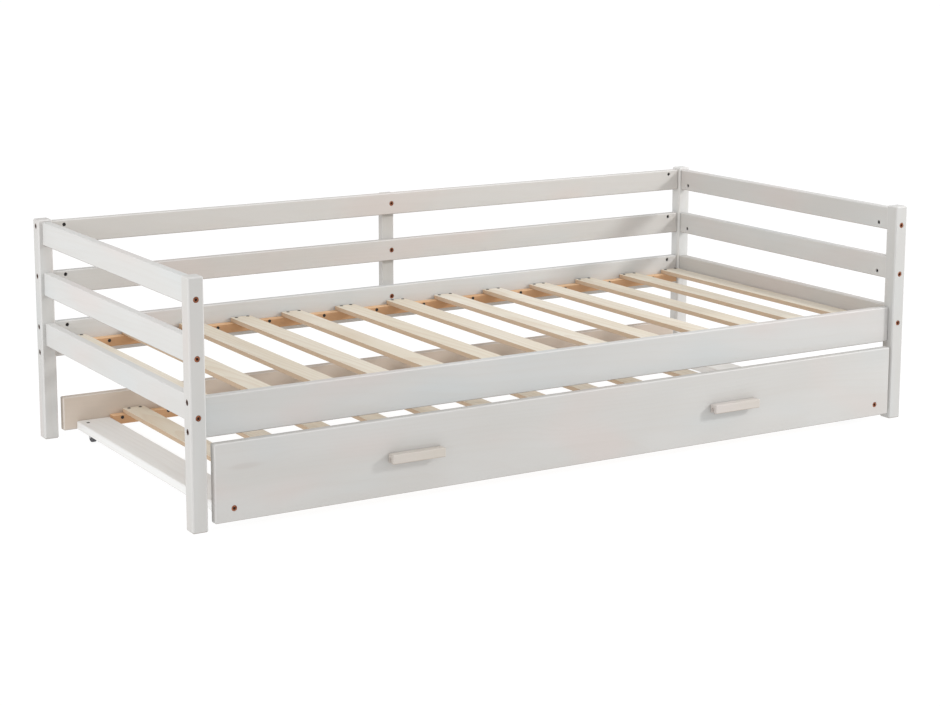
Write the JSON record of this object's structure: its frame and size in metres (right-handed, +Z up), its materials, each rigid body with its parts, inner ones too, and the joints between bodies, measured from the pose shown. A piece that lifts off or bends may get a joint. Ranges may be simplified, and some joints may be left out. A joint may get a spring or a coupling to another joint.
{
  "type": "trundle bed",
  "caption": "Low slatted wooden day bed with railed ends and back, and a slatted guest bed with a front panel and pull bars that rolls out from under it on small rollers.",
  "frame": {"origin": "on the floor, under the middle of the whole bed with its guest bed pushed in", "axes": "+X along the bed, -Y towards the side where the guest bed rolls out, +Z up"},
  "size_m": [2.08, 1.0306, 0.578],
  "materials": {
    "glazed_wood": "pine under a thin milky white glaze, satin, grain faintly showing",
    "bare_wood": "planed bare pine, matt",
    "strip_wood": "darker bare pine strip, matt",
    "pull_wood": "pale sanded wood, matt",
    "roller_plastic": "dark grey moulded plastic",
    "bracket_steel": "plain zinc-plated sheet"
  },
  "bodies": {
    "bed_frame": {"post_front_left": "glazed_wood", "post_front_right": "glazed_wood", "post_back_left": "glazed_wood", "post_back_right": "glazed_wood", "end_rail_left_top": "glazed_wood", "end_rail_left_middle": "glazed_wood", "end_rail_left_bottom": "glazed_wood", "end_rail_right_top": "glazed_wood", "end_rail_right_middle": "glazed_wood", "end_rail_right_bottom": "glazed_wood", "back_rail_top": "glazed_wood", "back_rail_middle": "glazed_wood", "side_rail_back": "glazed_wood", "centre_upright": "glazed_wood", "side_rail_front": "glazed_wood", "slat_01": "bare_wood", "slat_02": "bare_wood", "slat_03": "bare_wood", "slat_04": "bare_wood", "slat_05": "bare_wood", "slat_06": "bare_wood", "slat_07": "bare_wood", "slat_08": "bare_wood", "slat_09": "bare_wood", "slat_10": "bare_wood", "slat_11": "bare_wood", "slat_12": "bare_wood", "slat_13": "bare_wood", "slat_ledger_front": "strip_wood", "slat_ledger_back": "strip_wood"},
    "guest_bed": {"guest_front_panel": "glazed_wood", "guest_back_board": "glazed_wood", "guest_runner_left": "glazed_wood", "guest_runner_right": "glazed_wood", "guest_ledger_front": "strip_wood", "guest_ledger_back": "strip_wood", "guest_slat_01": "bare_wood", "guest_slat_02": "bare_wood", "guest_slat_03": "bare_wood", "guest_slat_04": "bare_wood", "guest_slat_05": "bare_wood", "guest_slat_06": "bare_wood", "guest_slat_07": "bare_wood", "guest_slat_08": "bare_wood", "guest_slat_09": "bare_wood", "guest_slat_10": "bare_wood", "handle_left": "pull_wood", "handle_right": "pull_wood", "roller_bracket_front_left": "bracket_steel", "roller_bracket_back_left": "bracket_steel", "roller_bracket_front_right": "bracket_steel", "roller_bracket_back_right": "bracket_steel"},
    "roller_front_left": {"roller_front_left": "roller_plastic"},
    "roller_back_left": {"roller_back_left": "roller_plastic"},
    "roller_front_right": {"roller_front_right": "roller_plastic"},
    "roller_back_right": {"roller_back_right": "roller_plastic"}
  },
  "joints": [
    {"name": "guest_bed_slide", "type": "slide", "parent": "bed_frame", "child": "guest_bed", "axis": [0, -1, 0], "range_m": [0, 0.95]},
    {"name": "roller_front_left_spin", "type": "hinge", "parent": "guest_bed", "child": "roller_front_left", "pos_m": [-0.94, -0.388, 0.015], "axis": [1, 0, 0], "continuous": true},
    {"name": "roller_back_left_spin", "type": "hinge", "parent": "guest_bed", "child": "roller_back_left", "pos_m": [-0.94, 0.3805, 0.015], "axis": [1, 0, 0], "continuous": true},
    {"name": "roller_front_right_spin", "type": "hinge", "parent": "guest_bed", "child": "roller_front_right", "pos_m": [0.94, -0.388, 0.015], "axis": [1, 0, 0], "continuous": true},
    {"name": "roller_back_right_spin", "type": "hinge", "parent": "guest_bed", "child": "roller_back_right", "pos_m": [0.94, 0.3805, 0.015], "axis": [1, 0, 0], "continuous": true}
  ],
  "couplings": [
    {"joint": "roller_front_left_spin", "follows": "guest_bed_slide", "rad_per_m": 66.667},
    {"joint": "roller_back_left_spin", "follows": "guest_bed_slide", "rad_per_m": 66.667},
    {"joint": "roller_front_right_spin", "follows": "guest_bed_slide", "rad_per_m": 66.667},
    {"joint": "roller_back_right_spin", "follows": "guest_bed_slide", "rad_per_m": 66.667}
  ]
}
